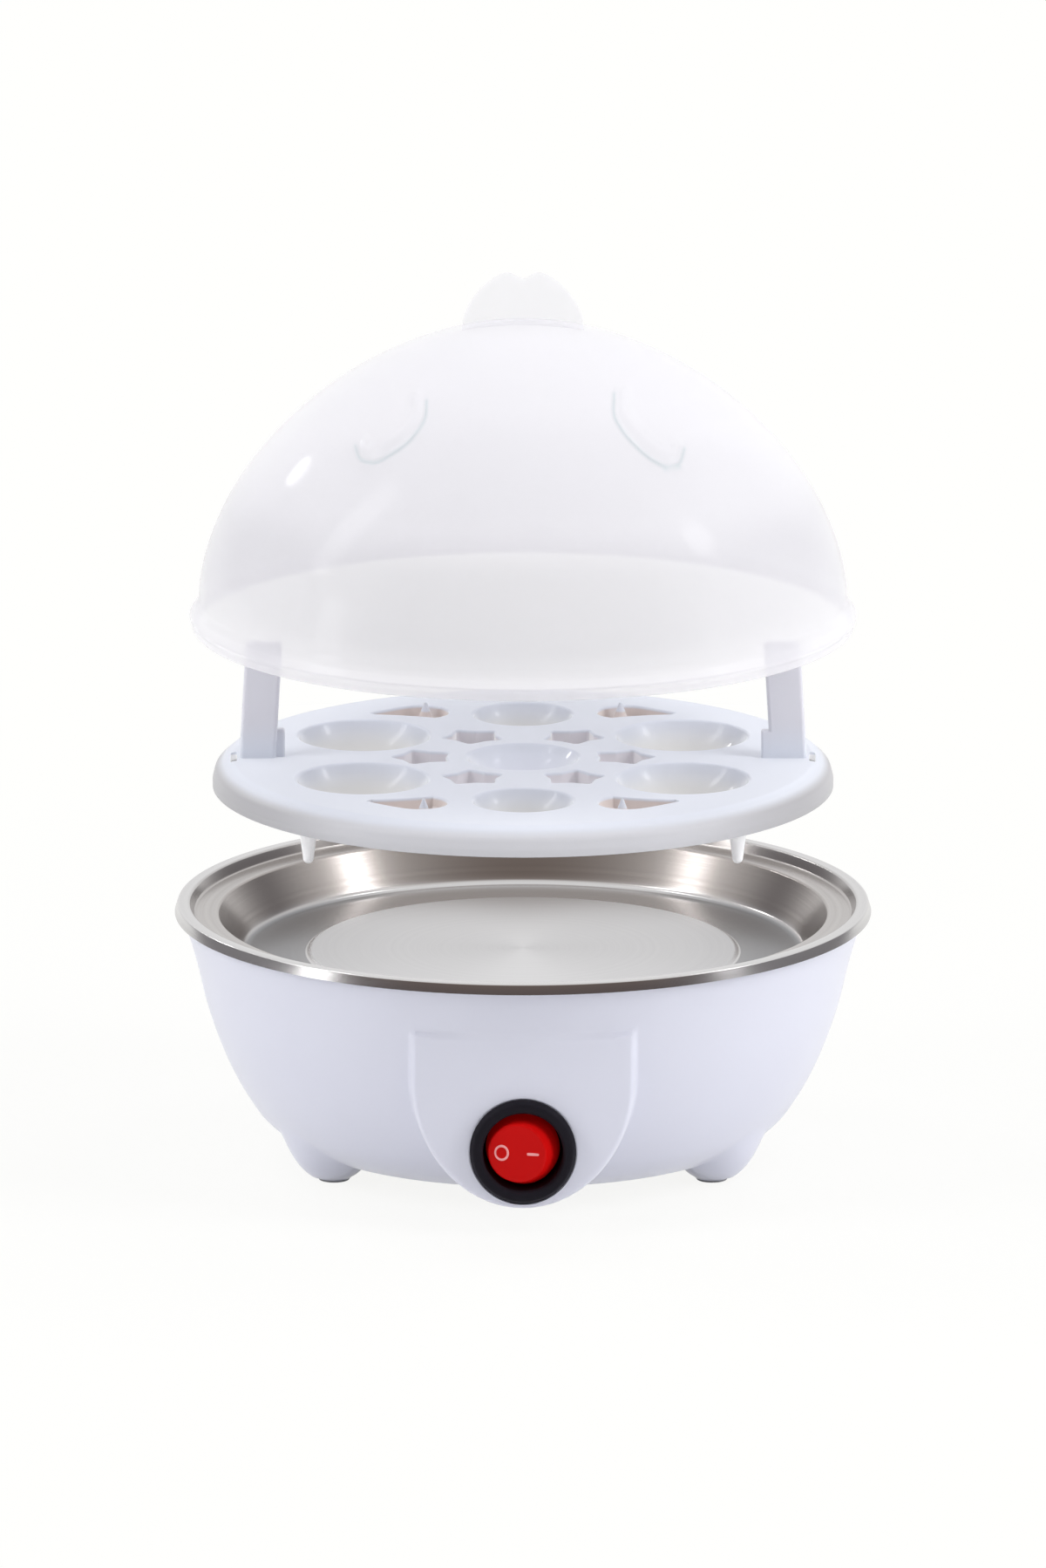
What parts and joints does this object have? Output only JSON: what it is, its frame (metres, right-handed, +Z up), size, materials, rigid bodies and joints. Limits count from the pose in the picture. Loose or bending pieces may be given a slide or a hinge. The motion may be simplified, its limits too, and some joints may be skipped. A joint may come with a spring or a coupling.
{
  "type": "electric egg boiler",
  "caption": "Round electric egg boiler: white base with a steel heating bowl and red rocker switch, lift-out milky egg tray with two grips, clear dome lid; shown lifted apart.",
  "frame": {"origin": "on the worktop under the middle of the base", "axes": "+Z up along the cooker's axis, the switch faces -Y, the tray's grips stand at +X and -X"},
  "size_m": [0.16, 0.16, 0.2063],
  "materials": {
    "white_plastic": "satin moulded polypropylene",
    "milky_plastic": "milky translucent polypropylene",
    "clear_plastic": "clear moulded polypropylene, slightly frosted",
    "bright_steel": "bright drawn stainless sheet",
    "zinc_steel": "zinc-plated steel",
    "cast_aluminium": "as cast",
    "element_sheath": "dark annealed sheath",
    "ceramic_white": "unglazed ceramic or heat-proof moulding",
    "brass": "plain",
    "black_plastic": "satin",
    "red_plastic": "glossy",
    "grey_rubber": "matt",
    "lead_silicone": "silicone sleeve"
  },
  "bodies": {
    "base": {"base_housing": "white_plastic", "bottom_cover": "white_plastic", "steel_bowl": "bright_steel", "bowl_seal": "grey_rubber", "cord_gland": "grey_rubber", "foot_pad_1": "grey_rubber", "foot_pad_2": "grey_rubber", "foot_pad_3": "grey_rubber", "bowl_bracket_1": "zinc_steel", "bowl_bracket_2": "zinc_steel", "bowl_bracket_3": "zinc_steel", "bracket_screw_1": "zinc_steel", "bracket_screw_2": "zinc_steel", "bracket_screw_3": "zinc_steel", "clamp_screw_1": "zinc_steel", "clamp_screw_2": "zinc_steel", "clamp_screw_3": "zinc_steel", "cover_screw_1": "zinc_steel", "cover_screw_2": "zinc_steel", "cover_screw_3": "zinc_steel", "cover_screw_4": "zinc_steel", "block_screw": "zinc_steel", "clamp_spider": "zinc_steel", "fuse_clip": "zinc_steel", "fuse_clip_screw": "zinc_steel", "heater_plate": "cast_aluminium", "heating_element": "element_sheath", "element_terminal_left": "brass", "element_terminal_right": "brass", "switch_contact": "brass", "switch_terminal_line": "brass", "switch_terminal_load": "brass", "thermostat": "ceramic_white", "thermal_fuse": "ceramic_white", "terminal_block": "ceramic_white", "switch_body": "black_plastic", "lead_block_to_switch": "lead_silicone", "lead_switch_to_thermostat": "lead_silicone", "lead_thermostat_to_fuse": "lead_silicone", "lead_fuse_to_element": "lead_silicone", "lead_element_to_block": "lead_silicone"},
    "tray": {"egg_tray": "milky_plastic"},
    "lid": {"lid": "clear_plastic"},
    "rocker": {"switch_rocker": "red_plastic"}
  },
  "joints": [
    {"name": "tray_lift", "type": "slide", "parent": "base", "child": "tray", "axis": [0, 0, 1], "range_m": [-0.0298, 0]},
    {"name": "lid_lift", "type": "slide", "parent": "tray", "child": "lid", "axis": [0, 0, 1], "range_m": [-0.0371, 0]},
    {"name": "rocker_press", "type": "hinge", "parent": "base", "child": "rocker", "pos_m": [0, -0.071, 0.0196], "axis": [0, 0, 1], "range_deg": [0, 24]}
  ]
}
